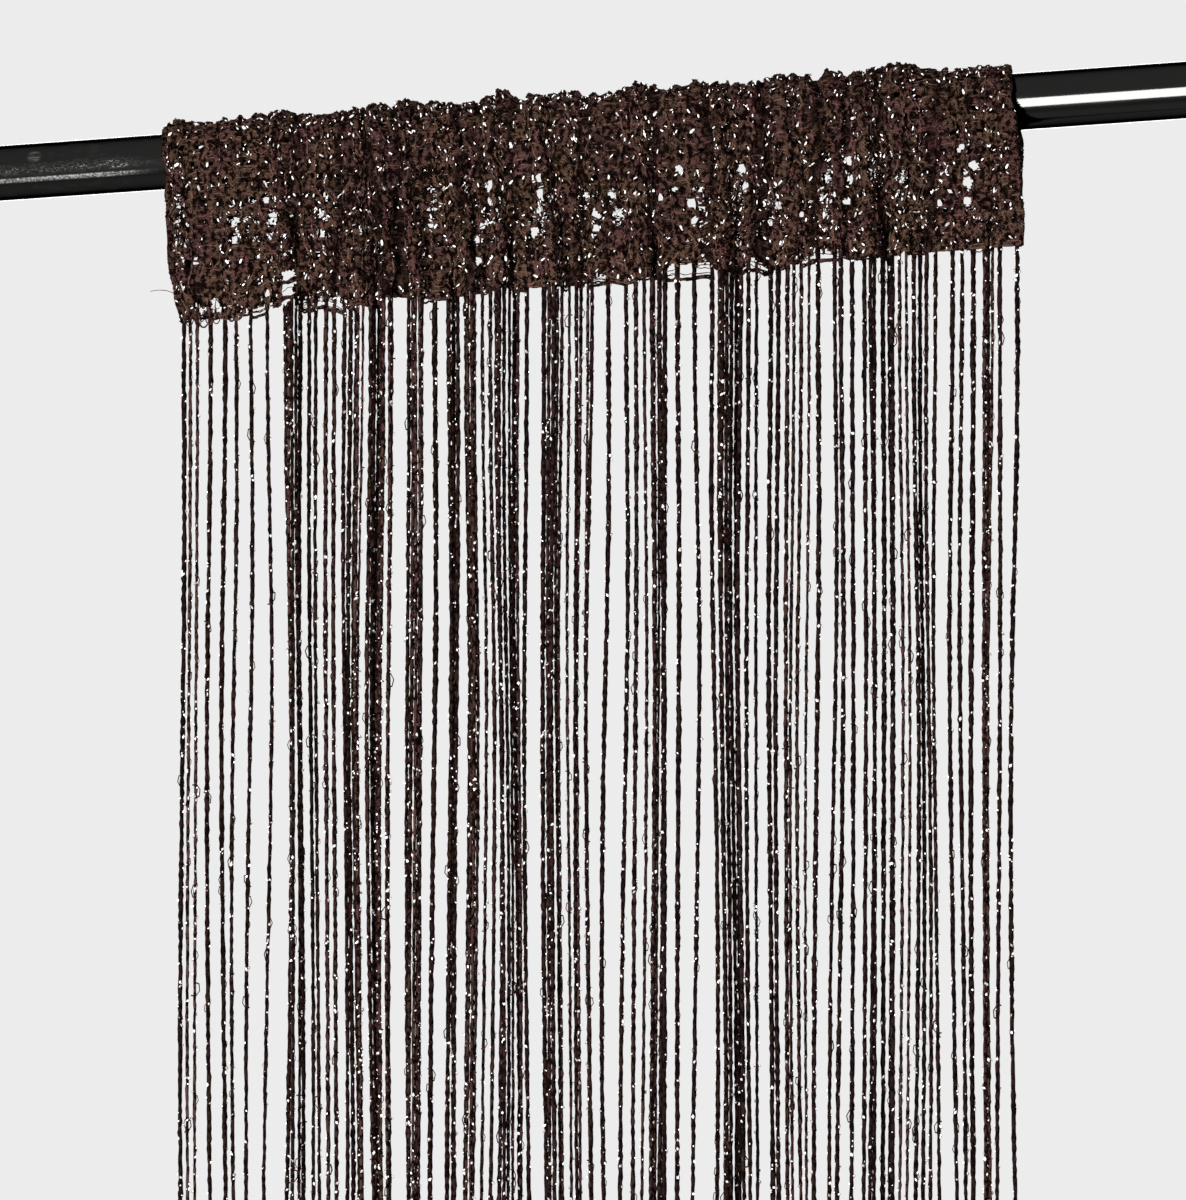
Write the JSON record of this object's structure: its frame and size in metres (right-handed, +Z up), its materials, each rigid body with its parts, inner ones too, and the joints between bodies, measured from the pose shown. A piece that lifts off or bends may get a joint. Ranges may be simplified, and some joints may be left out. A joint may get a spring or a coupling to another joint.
{
  "type": "string curtain on a rod",
  "caption": "String curtain: a gathered knitted heading that a plain round rod runs through, with a fringe of long hanging strings.",
  "frame": {"origin": "on the rod's axis, at the middle of the rod's length", "axes": "+X along the rod, to the right as seen from the front; +Y to the back, the front of the curtain faces -Y; +Z up"},
  "size_m": [0.7, 0.0449, 2.0138],
  "materials": {
    "rod": "glossy black paint, worn to faint grey scuffs in places",
    "heading": "dark brown openwork knit with bright metallic yarn running through it",
    "strings": "dark brown chain-knitted yarn with small bright metallic glints"
  },
  "bodies": {
    "root": {"rod": "rod", "heading": "heading", "strings": "strings"}
  },
  "joints": []
}
